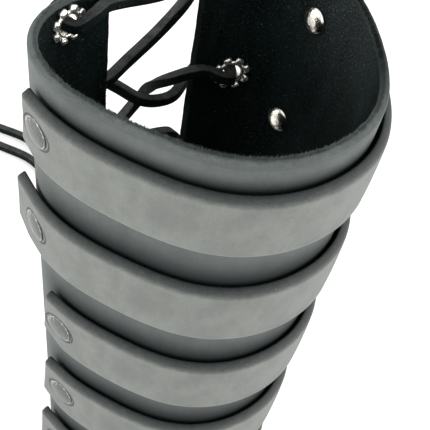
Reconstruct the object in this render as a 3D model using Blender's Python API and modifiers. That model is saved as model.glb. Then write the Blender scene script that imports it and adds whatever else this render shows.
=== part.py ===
"""Laced leather bracer with riveted bands, built at real size.

Metres, +Z up. The bracer stands on its wrist end: the origin is the middle of that end,
the elbow rim is at the top, the bands face -Y and the laced slit is at +Y.
Angles round the sleeve start at the front (-Y) and grow towards +X.
"""
import math

import bmesh
import bpy
from mathutils import Matrix, Vector

MM = 0.001
GAP = 0.3 * MM                      # room left between pieces that touch
SIDE_NAMES = {-1: "left", 1: "right"}

# Sleeve
SLEEVE_LENGTH = 250 * MM
RIM_RADIUS = 50 * MM                # mean outer radius at the elbow rim
WRIST_SHARE = 0.675                 # size of the wrist end, as a share of the rim
SECTION_WAVES = ((2, -0.086), (3, 0.112), (4, -0.043))   # waves round, share of the radius
DENT_SHARE = 0.026                  # the worn leather is pressed in a little at the front right
DENT_ANGLE = math.radians(43.5)
DENT_SPREAD = math.radians(24)
SLIT_HALF_ANGLE = math.radians(24.5)
SLIT_TURN = math.radians(3.5)       # the slit's middle lies this far from the back, towards the right
LEATHER = 3.0 * MM
SLEEVE_COLUMNS = 42
SLEEVE_ROWS = 5
TRIM = 2 * MM                       # the wall is made this much too long, then cut flat

# Bands: number -> depth of its lower edge and of its rivets below the rim, the rivets' angle from
# the front, and the straight end past the rivet
BANDS = {
    1: {"lower_edge": 35.9 * MM, "rivet_depth": 20.6 * MM, "rivet_angle": 105.0, "tail": 6.0 * MM},
    2: {"lower_edge": 78.7 * MM, "rivet_depth": 65.4 * MM, "rivet_angle": 109.0, "tail": 10.8 * MM},
    3: {"lower_edge": 120.9 * MM, "rivet_depth": 107.8 * MM, "rivet_angle": 97.5, "tail": 5.7 * MM},
    4: {"lower_edge": 161.5 * MM, "rivet_depth": 147.8 * MM, "rivet_angle": 97.5, "tail": 7.5 * MM},
    5: {"lower_edge": 201.0 * MM, "rivet_depth": 187.7 * MM, "rivet_angle": 101.5, "tail": 8.5 * MM},
    6: {"lower_edge": 239.5 * MM, "rivet_depth": 226.2 * MM, "rivet_angle": 101.0, "tail": 8.5 * MM},
}
BAND_HEIGHT = 25.5 * MM
BAND_RISE = 2.0 * MM                # the ends sit this much higher than the middle
END_SPLAY = 3.0 * MM                # how much longer a straight strap's lower edge reaches on the taper
BAND_LIFT = 0.8 * MM                # how far the upper edge stands off the sleeve
BAND_FLARE = 0.5 * MM               # and the lower edge
BAND_BULGE = 0.3 * MM
BAND_BEVEL = 2.2 * MM               # the upper edge slants down by this, from the inner face to the outer one
CORNER_ALONG = 6 * MM               # cut-off lower corner
CORNER_UP = 4.5 * MM
BAND_COLUMNS = 30
BAND_ROWS = 2

# Rivets
POST_RADIUS = 1.6 * MM
OUTER_CAP_RADIUS = 5.3 * MM
OUTER_CAP_HEIGHT = 1.5 * MM
INNER_CAP_RADIUS = 4.5 * MM
INNER_CAP_HEIGHT = 1.5 * MM
CAP_EDGE = 0.35 * MM
OUTER_SEAT = 0.6 * MM               # room for the walls' lean and curve under flat caps
INNER_SEAT = 0.85 * MM
RIVET_LEAN = 0.019                  # radians: half of the band's lean away from the sleeve
RIVET_SIDES = 12
POST_HOLE_SIDES = 8

# Eyelets
EYELET_PITCH = 43.5 * MM
EYELET_FIRST_DEPTH = 8.5 * MM
EYELET_ROWS = 6
EYELET_FROM_SLIT = 13 * MM
EYELET_HOLE_RADIUS = 3.3 * MM
BARREL_WALL = 0.5 * MM
FLANGE_RADIUS = 6.0 * MM
FLANGE_HEIGHT = 1.1 * MM
FLANGE_SEAT = 0.55 * MM
TEETH_SEAT = 1.5 * MM               # room for the wall's hollow curve under the teeth
TOOTH_NOTCH = 1.0 * MM              # how far the gaps between the teeth cut in
EYELET_TEETH = 8
BARREL_HOLE_SIDES = 12

# Lace
LACE_WIDTH = 3.5 * MM               # side of its square section
LACE_BEND = 4.4 * MM                # how wide it turns through an eyelet
LACE_STEP = 5.5 * MM
LACE_END_DIAMETER = 3.6 * MM
LACE_END_STEP = 10.5 * MM

# Routes of the free ends, in mm: from the slit down to the table and away behind
LACE_END_ROUTES = {
    "lace_end_left": [
        (-7.0, 31.0, 18.0), (-5.0, 36.5, 15.6), (-2.0, 43.5, 11.8), (2.5, 52.0, 7.2), (9.0, 62.5, 3.6),
        (17.5, 76.0, 2.0), (27.5, 93.0, 1.8), (37.5, 113.0, 1.8), (47.0, 136.0, 1.8),
        (55.5, 160.0, 1.8), (60.5, 178.0, 1.8), (60.0, 194.0, 1.8), (51.5, 210.5, 1.8), (45.5, 221.0, 1.8),
    ],
    "lace_end_right": [
        (7.0, 31.0, 17.0), (9.5, 36.5, 14.4), (13.5, 43.5, 10.4), (19.5, 52.5, 5.8), (27.5, 64.0, 2.8),
        (36.5, 78.5, 1.9), (46.0, 97.0, 1.8), (55.5, 119.0, 1.8), (63.5, 143.0, 1.8),
        (69.5, 168.0, 1.8), (71.5, 190.0, 1.8), (66.5, 209.0, 1.8), (58.5, 222.5, 1.8), (51.5, 233.0, 1.8),
    ],
}

# Colours and finish: base colour, roughness, metallic
FINISHES = {
    "sleeve_leather": ((0.045, 0.050, 0.052, 1), 0.62, 0.0),
    "band_leather": ((0.150, 0.155, 0.145, 1), 0.60, 0.0),
    "rivet_outer": ((0.30, 0.31, 0.29, 1), 0.35, 1.0),
    "eyelet_nickel": ((0.78, 0.76, 0.70, 1), 0.18, 1.0),
    "lace_leather": ((0.012, 0.013, 0.013, 1), 0.70, 0.0),
}


def clear_scene():
    for thing in list(bpy.data.objects):
        bpy.data.objects.remove(thing, do_unlink=True)


def new_collection(name):
    collection = bpy.data.collections.new(name)
    bpy.context.scene.collection.children.link(collection)
    return collection


def make_material(name):
    colour, roughness, metallic = FINISHES[name]
    material = bpy.data.materials.new(name)
    material.use_nodes = True
    shader = material.node_tree.nodes["Principled BSDF"]
    shader.inputs["Base Color"].default_value = colour
    shader.inputs["Roughness"].default_value = roughness
    shader.inputs["Metallic"].default_value = metallic
    return material


def add_object(name, data, collection, material=None):
    thing = bpy.data.objects.new(name, data)
    collection.objects.link(thing)
    if material:
        thing.data.materials.append(material)
    return thing


def finish_mesh(bm, name):
    """Close a bmesh into a mesh whose faces point outwards."""
    bmesh.ops.recalc_face_normals(bm, faces=bm.faces)
    mesh = bpy.data.meshes.new(name)
    bm.to_mesh(mesh)
    bm.free()
    return mesh


# ---------------------------------------------------------------- the sleeve's shape

def sleeve_scale(height):
    return WRIST_SHARE + (1 - WRIST_SHARE) * height / SLEEVE_LENGTH


def section_point(angle):
    """A point of the rim's outer outline, before the taper."""
    waves = sum(share * math.cos(count * angle) for count, share in SECTION_WAVES)
    dent = DENT_SHARE * math.exp(-((angle - DENT_ANGLE) / DENT_SPREAD) ** 2)
    radius = RIM_RADIUS * (1 + waves - dent)
    return Vector((radius * math.sin(angle), -radius * math.cos(angle), 0))


def section_tangent(angle):
    step = 0.001
    return (section_point(angle + step) - section_point(angle - step)).normalized()


def sleeve_point(angle, height, stand_off=0.0):
    """A point that stands off the sleeve's outer face by so much."""
    tangent = section_tangent(angle)
    outward = Vector((tangent.y, -tangent.x, 0))
    point = section_point(angle) * sleeve_scale(height) + outward * stand_off
    point.z = height
    return point


def surface_frame(point_at, angle, height):
    """Matrix at a place on a surface: X along the section, Z outwards, Y up the wall."""
    turn = math.radians(1)
    rise = 1 * MM
    along = point_at(angle + turn, height) - point_at(angle - turn, height)
    up = point_at(angle, height + rise) - point_at(angle, height - rise)
    outward = along.cross(up).normalized()
    along = up.cross(outward).normalized()
    up = outward.cross(along)
    matrix = Matrix((along, up, outward)).transposed().to_4x4()
    matrix.translation = point_at(angle, height)
    return matrix


def make_sheet(name, point_at, columns, rows):
    """An open sheet: a grid whose corners are moved to point_at(across, up), each from 0 to 1."""
    bm = bmesh.new()
    bmesh.ops.create_grid(bm, x_segments=columns, y_segments=rows, size=0.5)
    for vertex in bm.verts:
        vertex.co = point_at(vertex.co.x + 0.5, vertex.co.y + 0.5)
    mesh = bpy.data.meshes.new(name)
    bm.to_mesh(mesh)
    bm.free()
    return mesh


def applied_mesh(thing):
    """The object's mesh with its modifiers applied."""
    depsgraph = bpy.context.evaluated_depsgraph_get()
    return bpy.data.meshes.new_from_object(thing.evaluated_get(depsgraph))


def cut_flat(mesh, low, high):
    """Trim a closed wall to flat faces at two heights."""
    bm = bmesh.new()
    bm.from_mesh(mesh)
    for height, keep_up in ((low, True), (high, False)):
        geometry = bm.verts[:] + bm.edges[:] + bm.faces[:]
        side = {"clear_inner": keep_up, "clear_outer": not keep_up}
        cut = bmesh.ops.bisect_plane(bm, geom=geometry, plane_co=(0, 0, height), plane_no=(0, 0, 1), **side)
        edges = [item for item in cut["geom_cut"] if isinstance(item, bmesh.types.BMEdge)]
        bmesh.ops.contextual_create(bm, geom=edges)
    bmesh.ops.recalc_face_normals(bm, faces=bm.faces)
    bm.to_mesh(mesh)
    bm.free()


def make_sleeve(parts, material, holes):
    reach = math.pi - SLIT_HALF_ANGLE

    def point_at(along, up):
        height = -TRIM + (SLEEVE_LENGTH + 2 * TRIM) * up
        across = 2 * along - 1
        return sleeve_point(reach * across - SLIT_TURN * across ** 2, height)

    sleeve = add_object("sleeve", make_sheet("sleeve", point_at, SLEEVE_COLUMNS, SLEEVE_ROWS), parts)
    wall = sleeve.modifiers.new("wall", "SOLIDIFY")
    wall.thickness = LEATHER
    wall.offset = -1
    wall.use_even_offset = True
    solid = applied_mesh(sleeve)
    sleeve.modifiers.clear()
    sleeve.data = solid
    cut_flat(solid, 0, SLEEVE_LENGTH)
    solid.materials.append(material)
    cut = sleeve.modifiers.new("holes", "BOOLEAN")
    cut.operation = "DIFFERENCE"
    cut.solver = "EXACT"
    cut.operand_type = "COLLECTION"
    cut.collection = holes
    return sleeve


# ---------------------------------------------------------------- bands

def band_corner(from_end):
    """How far the cut-off corner raises the lower edge, at a distance from the band's end."""
    return CORNER_UP * max(0.0, 1 - from_end / CORNER_ALONG)


def band_rise(across):
    """A straight strip climbs a little towards its ends when it goes round a tapering sleeve."""
    return BAND_RISE * across ** 4


def band_bottom(band):
    return SLEEVE_LENGTH - band["lower_edge"]


def band_reach(band):
    """The length along the sleeve from a band's middle to its rivet."""
    return math.radians(band["rivet_angle"]) * RIM_RADIUS * sleeve_scale(band_bottom(band))


def band_point(band, across, up, stand_off=0.0):
    """A point of a band's inner face: across runs from -1 (left end) to 1, up from 0 to 1."""
    bottom = band_bottom(band)
    reach = band_reach(band)
    scale = sleeve_scale(bottom)
    along = abs(across) * (reach + band["tail"])
    corner = band_corner(reach + band["tail"] - along)
    in_band = corner + (BAND_HEIGHT - corner) * up
    height = bottom + in_band + band_rise(across)
    share = in_band / BAND_HEIGHT
    pinned = min(1.0, along / reach) ** 4
    free = 1 - pinned
    lift = GAP + BAND_LIFT * share ** (1 + pinned) + BAND_FLARE * (1 - share) * free
    lift += BAND_BULGE * 4 * share * (1 - share) * free
    side = 1 if across >= 0 else -1
    angle = side * min(along, reach) / (RIM_RADIUS * scale)
    point = sleeve_point(angle, height, lift + stand_off)
    if along > reach:
        point += section_tangent(angle) * side * (along - reach) * (1 + END_SPLAY * (1 - share) / band["tail"])
    return point


def make_band(number, parts, material, holes):
    band = BANDS[number]
    name = f"band_{number}"
    sheet = make_sheet(name, lambda across, up: band_point(band, 2 * across - 1, up), BAND_COLUMNS, BAND_ROWS)
    thing = add_object(name, sheet, parts, material)
    wall = thing.modifiers.new("wall", "SOLIDIFY")
    wall.thickness = LEATHER
    wall.offset = 1
    wall.use_even_offset = True
    solid = applied_mesh(thing)
    thing.modifiers.clear()
    thing.data = solid
    slant_upper_edge(solid)
    cut = thing.modifiers.new("holes", "BOOLEAN")
    cut.operation = "DIFFERENCE"
    cut.solver = "EXACT"
    cut.operand_type = "COLLECTION"
    cut.collection = holes
    return thing


def slant_upper_edge(mesh):
    """Lower the outer rim of a band's upper edge; the wall's outer face comes first in its mesh."""
    outer = len(mesh.vertices) // 2
    for vertex in mesh.vertices[outer - (BAND_COLUMNS + 1):outer]:
        vertex.co.z -= BAND_BEVEL


# ---------------------------------------------------------------- turned pieces

def screw_mesh(name, profile, sides, closed=False):
    """Turn a profile of (radius, height) round Z: it runs down the outer side, top to bottom."""
    bm = bmesh.new()
    points = [bm.verts.new((radius, 0, height)) for radius, height in profile]
    for first, second in zip(points, points[1:]):
        bm.edges.new((first, second))
    if closed:
        bm.edges.new((points[-1], points[0]))
    mesh = bpy.data.meshes.new(name)
    bm.to_mesh(mesh)
    bm.free()
    guide = bpy.data.objects.new(name, mesh)
    bpy.context.scene.collection.objects.link(guide)
    turn = guide.modifiers.new("turn", "SCREW")
    turn.steps = sides
    turn.render_steps = sides
    turn.use_merge_vertices = True
    turn.merge_threshold = 0.01 * MM
    turned = applied_mesh(guide)
    bpy.data.objects.remove(guide, do_unlink=True)
    bm = bmesh.new()
    bm.from_mesh(turned)
    bmesh.ops.remove_doubles(bm, verts=bm.verts, dist=0.01 * MM)
    bmesh.ops.recalc_face_normals(bm, faces=bm.faces)
    bm.to_mesh(turned)
    bm.free()
    return turned


def add_hole(name, place, radius, sides, collection):
    """A cylinder along the local Z of a place, long enough to go through the walls."""
    radius /= math.cos(math.pi / sides)
    bm = bmesh.new()
    bmesh.ops.create_cone(bm, cap_ends=True, segments=sides, radius1=radius, radius2=radius, depth=16 * MM)
    cutter = add_object(name, finish_mesh(bm, name), collection)
    cutter.matrix_world = place
    cutter.hide_render = True
    cutter.display_type = "WIRE"
    return cutter


def rivet_place(number, side):
    """Where a rivet's axis crosses the band's outer face, and how much leather it grips."""
    band = BANDS[number]
    angle = side * math.radians(band["rivet_angle"])
    height = SLEEVE_LENGTH - band["rivet_depth"]
    reach = band_reach(band)
    across = side * reach / (reach + band["tail"])
    corner = band_corner(band["tail"])
    in_band = height - band_bottom(band) - band_rise(across)
    up = (in_band - corner) / (BAND_HEIGHT - corner)
    place = surface_frame(sleeve_point, angle, height)
    place.translation = band_point(band, across, up, LEATHER)
    grip = (place.translation - sleeve_point(angle, height, -LEATHER)).length
    return place @ Matrix.Rotation(RIVET_LEAN, 4, "X"), grip


def make_rivet(name, place, grip, parts, material):
    """Domed cap outside, smaller domed cap inside, and the post between them."""
    outer = OUTER_SEAT
    inner = -grip - INNER_SEAT
    profile = [
        (0, outer + OUTER_CAP_HEIGHT),
        (0.7 * OUTER_CAP_RADIUS, outer + 0.72 * OUTER_CAP_HEIGHT),
        (OUTER_CAP_RADIUS, outer + CAP_EDGE),
        (POST_RADIUS, outer),
        (POST_RADIUS, inner),
        (INNER_CAP_RADIUS, inner - CAP_EDGE),
        (0.7 * INNER_CAP_RADIUS, inner - 0.72 * INNER_CAP_HEIGHT),
        (0, inner - INNER_CAP_HEIGHT),
    ]
    thing = add_object(name, screw_mesh(name, profile, RIVET_SIDES), parts, material)
    thing.matrix_world = place
    return thing


def eyelet_spot(row):
    """An eyelet's height, its angle from the front, and the sleeve's radius there."""
    height = SLEEVE_LENGTH - EYELET_FIRST_DEPTH - EYELET_PITCH * (row - 1)
    radius = section_point(math.pi - SLIT_HALF_ANGLE).length * sleeve_scale(height)
    return height, math.pi - SLIT_HALF_ANGLE - EYELET_FROM_SLIT / radius, radius


def eyelet_place(row, side):
    height, angle, _ = eyelet_spot(row)
    return surface_frame(sleeve_point, side * angle - SLIT_TURN, height)


def make_eyelet(name, place, parts, material):
    """Smooth flange outside, barrel through the leather, star of teeth inside."""
    inside = -LEATHER - TEETH_SEAT
    barrel = EYELET_HOLE_RADIUS + BARREL_WALL
    profile = [
        (EYELET_HOLE_RADIUS, FLANGE_SEAT + 0.5 * FLANGE_HEIGHT),
        (EYELET_HOLE_RADIUS + 1.1 * MM, FLANGE_SEAT + FLANGE_HEIGHT),
        (FLANGE_RADIUS, FLANGE_SEAT),
        (barrel, FLANGE_SEAT),
        (barrel, inside),
        (FLANGE_RADIUS, inside - 0.15 * MM),
        (EYELET_HOLE_RADIUS, inside - FLANGE_HEIGHT),
    ]
    mesh = screw_mesh(name, profile, 2 * EYELET_TEETH, closed=True)
    for vertex in mesh.vertices:
        turn = math.atan2(vertex.co.y, vertex.co.x) / (math.pi / EYELET_TEETH)
        radius = math.hypot(vertex.co.x, vertex.co.y)
        if vertex.co.z < inside and radius > barrel and round(turn) % 2:
            shrink = (radius - TOOTH_NOTCH) / radius
            vertex.co.x *= shrink
            vertex.co.y *= shrink
    thing = add_object(name, mesh, parts, material)
    thing.matrix_world = place
    return thing


# ---------------------------------------------------------------- laces

def smooth_route(points, step):
    """Points about one step apart on a smooth curve (centripetal Catmull-Rom) through the given ones."""
    points = [Vector(point) for point in points]
    ends = [2 * points[0] - points[1]] + points + [2 * points[-1] - points[-2]]
    route = [points[0]]
    for before, start, stop, after in zip(ends, ends[1:], ends[2:], ends[3:]):
        pieces = max(1, round((stop - start).length / step))
        knots = [0.0]
        for first, second in ((before, start), (start, stop), (stop, after)):
            knots.append(knots[-1] + math.sqrt((second - first).length))
        for index in range(1, pieces + 1):
            t = knots[1] + (knots[2] - knots[1]) * index / pieces
            route.append(curve_between((before, start, stop, after), knots, t))
    return route


def curve_between(points, knots, t):
    """Barry and Goldman's pyramid for one span of the curve."""
    level = list(points)
    for width in (1, 2, 3):
        following = []
        for index in range(len(level) - 1):
            low = knots[index] if width < 3 else knots[1]
            high = knots[index + width] if width < 3 else knots[2]
            if width == 2:
                low, high = knots[index], knots[index + 2]
            blend = (t - low) / (high - low)
            following.append(level[index].lerp(level[index + 1], blend))
        level = following
    return level[0]


def lace_tube(name, points, radius, resolution, parts, material):
    curve = bpy.data.curves.new(name, "CURVE")
    curve.dimensions = "3D"
    curve.bevel_depth = radius
    curve.bevel_resolution = resolution
    curve.use_fill_caps = True
    spline = curve.splines.new("POLY")
    spline.points.add(len(points) - 1)
    for target, point in zip(spline.points, points):
        target.co = (*point, 1)
    return add_object(name, curve, parts, material)


def through_eyelet(row, side):
    """The lace's points through one eyelet, from the outer face to the inner one.

    Each offset is a distance along the wall towards the slit, and a distance off its outer face.
    """
    outside_rise, inside_rise = RISES.get((SIDE_NAMES[side], row), USUAL_RISE)
    height, angle, radius = eyelet_spot(row)
    inner = -LEATHER
    offsets = [
        (EYELET_FROM_SLIT + 2.2 * MM, 2.9 * MM),
        (EYELET_FROM_SLIT - 2.5 * MM, 3.9 * MM),
        (LACE_BEND + 1.0 * MM, 1.1 * MM + LACE_BEND),
        (0.24 * LACE_BEND, 0.9 * MM + 0.71 * LACE_BEND),
        (0.0, 0.0),
        (0.0, inner),
        (0.24 * LACE_BEND, inner - 1.1 * MM - 0.71 * LACE_BEND),
        (LACE_BEND + 1.0 * MM, inner - 1.6 * MM - LACE_BEND),
        (EYELET_FROM_SLIT - 2.5 * MM, inner - 3.4 * MM),
        (EYELET_FROM_SLIT + 2.2 * MM, inner - 2.2 * MM),
    ]
    points = []
    for index, (along, off) in enumerate(offsets):
        rise = outside_rise if index < len(offsets) / 2 else inside_rise
        climb = rise * max(0.0, along - LACE_BEND)
        climb += ARCHES.get((SIDE_NAMES[side], row), 0) * ARCH_SHARES.get(index, 0)
        points.append(sleeve_point(side * (angle + along / radius) - SLIT_TURN, height + climb, off))
    return points


# How the lace climbs for each metre along the wall as it leaves an eyelet, outside and inside
RISES = {
    ("left", 1): (-0.6, 0.15),
    ("right", 1): (-1.2, 0.15),
    ("left", 2): (1.05, -0.5),
    ("right", 2): (-0.8, 0.5),
    ("right", 3): (1.65, -0.55),
}
USUAL_RISE = (0.55, -0.55)
# How high the lace arches as it comes out on the inside, and the share of that at each of the points
ARCHES = {("left", 1): 4.9 * MM, ("right", 1): 4.9 * MM, ("right", 2): 2.8 * MM}
ARCH_SHARES = {6: 0.2, 7: 0.95, 8: 0.85, 9: 0.6}

# The lace's free runs near the elbow, in mm: where it hangs slack outside and inside the slit
SLACK_RUNS = {
    # from the outside of eyelet_left_1, down behind the left flap and across to eyelet_right_2
    "left_1_to_right_2": [
        (-20.5, 47.0, 225.0), (-15.5, 48.6, 213.0), (-8.0, 47.6, 202.6), (-3.4, 45.2, 198.7),
        (2.9, 41.8, 193.7), (10.9, 41.6, 189.6),
    ],
    # from the inside of eyelet_right_2, over the slack run above and down to eyelet_left_3
    "right_2_to_left_3": [
        (12.5, 38.5, 201.3), (10.4, 43.4, 196.1), (10.5, 48.6, 188.6), (8.6, 50.62, 182.4), (3.9, 50.4, 178.1),
        (-7.1, 48.0, 171.7),
    ],
    # from the outside of eyelet_right_1 across to eyelet_left_2
    "right_1_to_left_2": [
        (18.7, 43.6, 228.5), (10.3, 44.6, 218.9), (-3.6, 43.5, 211.2),
    ],
    # from the inside of eyelet_left_2 across to eyelet_right_3
    "left_2_to_right_3": [
        (-10.5, 34.5, 188.0), (-3.0, 38.0, 178.0), (7.0, 42.0, 173.5),
    ],
}
BAR_MIDDLE = (2.7, 34.5, 244.3)
CROSSING_OFFSET = 3.2 * MM           # half the distance between two runs where they cross
CROSSING_SAG = 2.0 * MM


def strand(start_side):
    """Lace from the outside of one top eyelet, zigzag down to the slit at the wrist end."""
    depth = CROSSING_OFFSET if start_side < 0 else -CROSSING_OFFSET
    side = start_side
    points = through_eyelet(1, side)[:0:-1]
    for row in range(2, EYELET_ROWS + 1):
        run = SLACK_RUNS.get(f"{SIDE_NAMES[side]}_{row - 1}_to_{SIDE_NAMES[-side]}_{row}")
        arriving = through_eyelet(row, -side)
        if run:
            points += [Vector(point) * MM for point in run]
        else:
            middle = (points[-1] + arriving[0]) / 2
            points.append(middle + Vector((0, depth, -CROSSING_SAG)))
        points += arriving
        side = -side
    first, second = (Vector(point) * MM for point in LACE_END_ROUTES[f"lace_end_{SIDE_NAMES[side]}"][:2])
    heading = (second - first).normalized()
    points += [first - heading * LACE_WIDTH, first - heading * GAP]
    return points


def make_laces(parts, material):
    from_left, from_right = strand(-1), strand(1)
    held = from_left[::-1] + [Vector(BAR_MIDDLE) * MM] + from_right
    corner_radius = LACE_WIDTH / math.sqrt(2)
    lace_tube("lace", smooth_route(held, LACE_STEP), corner_radius, 0, parts, material)
    for name, route in LACE_END_ROUTES.items():
        points = smooth_route([Vector(point) * MM for point in route], LACE_END_STEP)
        lace_tube(name, points, LACE_END_DIAMETER / 2, 2, parts, material)


def main():
    clear_scene()
    parts = new_collection("leather_bracer")
    rivet_holes = new_collection("rivet_holes")
    sleeve_holes = new_collection("sleeve_holes")
    materials = {name: make_material(name) for name in FINISHES}
    for side, word in SIDE_NAMES.items():
        for number in BANDS:
            place, grip = rivet_place(number, side)
            make_rivet(f"rivet_{word}_{number}", place, grip, parts, materials["rivet_outer"])
            hole = add_hole(f"rivet_hole_{word}_{number}", place, POST_RADIUS + GAP, POST_HOLE_SIDES, rivet_holes)
            sleeve_holes.objects.link(hole)
        for row in range(1, EYELET_ROWS + 1):
            place = eyelet_place(row, side)
            make_eyelet(f"eyelet_{word}_{row}", place, parts, materials["eyelet_nickel"])
            barrel = EYELET_HOLE_RADIUS + BARREL_WALL
            add_hole(f"eyelet_hole_{word}_{row}", place, barrel + GAP, BARREL_HOLE_SIDES, sleeve_holes)
    make_sleeve(parts, materials["sleeve_leather"], sleeve_holes)
    for number in BANDS:
        make_band(number, parts, materials["band_leather"], rivet_holes)
    make_laces(parts, materials["lace_leather"])


main()
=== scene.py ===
from math import cos, degrees, exp, pi, radians, sin, sqrt

import bpy
from mathutils import Matrix, Vector


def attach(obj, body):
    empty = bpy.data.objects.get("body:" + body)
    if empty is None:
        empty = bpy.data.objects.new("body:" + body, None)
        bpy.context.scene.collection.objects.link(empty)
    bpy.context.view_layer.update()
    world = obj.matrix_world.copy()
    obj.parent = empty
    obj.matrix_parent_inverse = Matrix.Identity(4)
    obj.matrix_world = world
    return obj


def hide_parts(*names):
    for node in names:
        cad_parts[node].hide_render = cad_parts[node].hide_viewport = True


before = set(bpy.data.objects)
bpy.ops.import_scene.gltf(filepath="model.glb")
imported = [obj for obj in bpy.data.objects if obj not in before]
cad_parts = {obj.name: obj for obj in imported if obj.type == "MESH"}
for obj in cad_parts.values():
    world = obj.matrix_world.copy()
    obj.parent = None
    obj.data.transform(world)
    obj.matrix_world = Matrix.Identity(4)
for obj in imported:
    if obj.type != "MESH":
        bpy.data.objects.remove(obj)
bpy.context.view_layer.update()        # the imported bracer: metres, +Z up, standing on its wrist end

MM = 0.001
BODY = "root"
GAP = 0.3 * MM
SIDES = {"left": -1, "right": 1}

# Sleeve
SLEEVE_LENGTH = 250 * MM
RIM_RADIUS = 50 * MM
WRIST_SHARE = 0.675
SECTION_WAVES = ((2, -0.086), (3, 0.112), (4, -0.043))
DENT_SHARE = 0.026
DENT_ANGLE = radians(43.5)
DENT_SPREAD = radians(24)
SLIT_HALF_ANGLE = radians(24.5)
SLIT_TURN = radians(3.5)       # the slit's middle lies this far from the back, towards the right
REACH = pi - SLIT_HALF_ANGLE
LEATHER = 3.0 * MM
ROUND_STEPS = 3.0                   # rows of faces in half of a rounded edge
UNEVEN_CUT = 0.75 * MM
FLAT_LENGTH = 2 * REACH * RIM_RADIUS

# Bands: number, depth of its lower edge and of its rivets below the rim, the rivets' angle from the
# front in degrees, and the straight end past the rivet
BANDS = {
    number: {"lower_edge": lower * MM, "rivet_depth": depth * MM, "rivet_angle": radians(angle), "tail": tail * MM}
    for number, lower, depth, angle, tail in (
        (1, 35.9, 20.6, 105.0, 6.0),
        (2, 78.7, 65.4, 109.0, 10.8),
        (3, 120.9, 107.8, 97.5, 5.7),
        (4, 161.5, 147.8, 97.5, 7.5),
        (5, 201.0, 187.7, 101.5, 8.5),
        (6, 239.5, 226.2, 101.0, 8.5),
    )
}
BAND_HEIGHT = 25.5 * MM
END_SPLAY = 3.0 * MM                # how much longer a straight strap's lower edge reaches on the taper
BAND_RISE = 2.0 * MM                # the ends sit this much higher than the middle
BAND_LIFT = 0.8 * MM
BAND_FLARE = 0.5 * MM
BAND_BULGE = 0.3 * MM
BAND_BEVEL = 2.2 * MM
CORNER_ALONG = 6 * MM
CORNER_UP = 4.5 * MM

# Rivets
POST_RADIUS = 1.6 * MM
CAP_SINK = 0.15 * MM                # how deep an outer cap presses the leather in
CAP_REACH = (5.2 * MM, 8.4 * MM)    # from the cap's middle: where the dent round it starts and ends
CAP_STRETCH = 1.1                   # how much the outer face is stretched along, next to a cap
RIVET_LEAN = 0.019

# Eyelets
EYELET_PITCH = 43.5 * MM
EYELET_FIRST_DEPTH = 8.5 * MM
EYELET_ROWS = 6
EYELET_FROM_SLIT = 13 * MM
EYELET_HOLE_RADIUS = 3.3 * MM
BARREL_WALL = 0.5 * MM
TEETH = 8
TEETH_TILT = -0.36

# Lace
LACE_WIDTH = 3.5 * MM
LACE_BEND = 4.4 * MM
CROSSING_OFFSET = 3.2 * MM
CROSSING_SAG = 2.0 * MM
LACE_GRAIN_UP = -1.0                # which face of the section the grain is on
BAR_MIDDLE = (2.7, 34.5, 244.3)
RISES = {
    ("left", 1): (-0.6, 0.15),
    ("right", 1): (-1.2, 0.15),
    ("left", 2): (1.05, -0.5),
    ("right", 2): (-0.8, 0.5),
    ("right", 3): (1.65, -0.55),
}
USUAL_RISE = (0.55, -0.55)
ARCHES = {("left", 1): 4.9 * MM, ("right", 1): 4.9 * MM, ("right", 2): 2.8 * MM}
ARCH_SHARES = {6: 0.2, 7: 0.95, 8: 0.85, 9: 0.6}
SLACK_RUNS = {
    # from the outside of eyelet_left_1, down behind the left flap and across to eyelet_right_2
    "left_1_to_right_2": [
        (-20.5, 47, 225), (-15.5, 48.6, 213), (-8, 47.6, 202.6), (-3.4, 45.2, 198.7),
        (2.9, 41.8, 193.7), (10.9, 41.6, 189.6),
    ],
    # from the inside of eyelet_right_2, over the slack run above and down to eyelet_left_3
    "right_2_to_left_3": [
        (12.5, 38.5, 201.3), (10.4, 43.4, 196.1), (10.5, 48.6, 188.6), (8.6, 50.62, 182.4), (3.9, 50.4, 178.1),
        (-7.1, 48, 171.7),
    ],
    # from the outside of eyelet_right_1 across to eyelet_left_2
    "right_1_to_left_2": [
        (18.7, 43.6, 228.5), (10.3, 44.6, 218.9), (-3.6, 43.5, 211.2),
    ],
    # from the inside of eyelet_left_2 across to eyelet_right_3
    "left_2_to_right_3": [
        (-10.5, 34.5, 188), (-3, 38, 178), (7, 42, 173.5),
    ],
}
LACE_END_ROUTES = {
    "lace_end_left": [
        (-7, 31, 18), (-5, 36.5, 15.6), (-2, 43.5, 11.8), (2.5, 52, 7.2), (9, 62.5, 3.6),
        (17.5, 76, 2), (27.5, 93, 1.8), (37.5, 113, 1.8), (47, 136, 1.8),
        (55.5, 160, 1.8), (60.5, 178, 1.8), (60, 194, 1.8), (51.5, 210.5, 1.8), (45.5, 221, 1.8),
    ],
    "lace_end_right": [
        (7, 31, 17), (9.5, 36.5, 14.4), (13.5, 43.5, 10.4), (19.5, 52.5, 5.8), (27.5, 64, 2.8),
        (36.5, 78.5, 1.9), (46, 97, 1.8), (55.5, 119, 1.8), (63.5, 143, 1.8),
        (69.5, 168, 1.8), (71.5, 190, 1.8), (66.5, 209, 1.8), (58.5, 222.5, 1.8), (51.5, 233, 1.8),
    ],
}
LACE_END_WIDTH = 3.45 * MM

# Camera: azimuth from the front, elevation and roll in degrees, its place, and its lens in mm
CAMERA_TURN = (-46.21, 46.85, 11.80)
CAMERA_PLACE = (-0.19361, -0.19274, 0.46936)
CAMERA_LENS = 100.6

# Soft lights: azimuth, elevation, size and power
LIGHTS = {
    "front softbox": (-46, 8, 1.0, 8),
    "left softbox": (-120, 14, 0.9, 15),
    "right softbox": (40, 14, 0.9, 15),
}
LIGHT_DISTANCE = 1.3
LIGHT_TARGET = (0, 0, 0.12)
SKY_STRENGTH = 1.12

# Colours
BAND_GREY = (0.119, 0.1265, 0.1165)
# the bands' dark burnished upper edges, darkened further with painted shade at the inner corner
BURNISH_AND_SHADE = (0.002, 0.0055, 0.0055)


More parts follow.
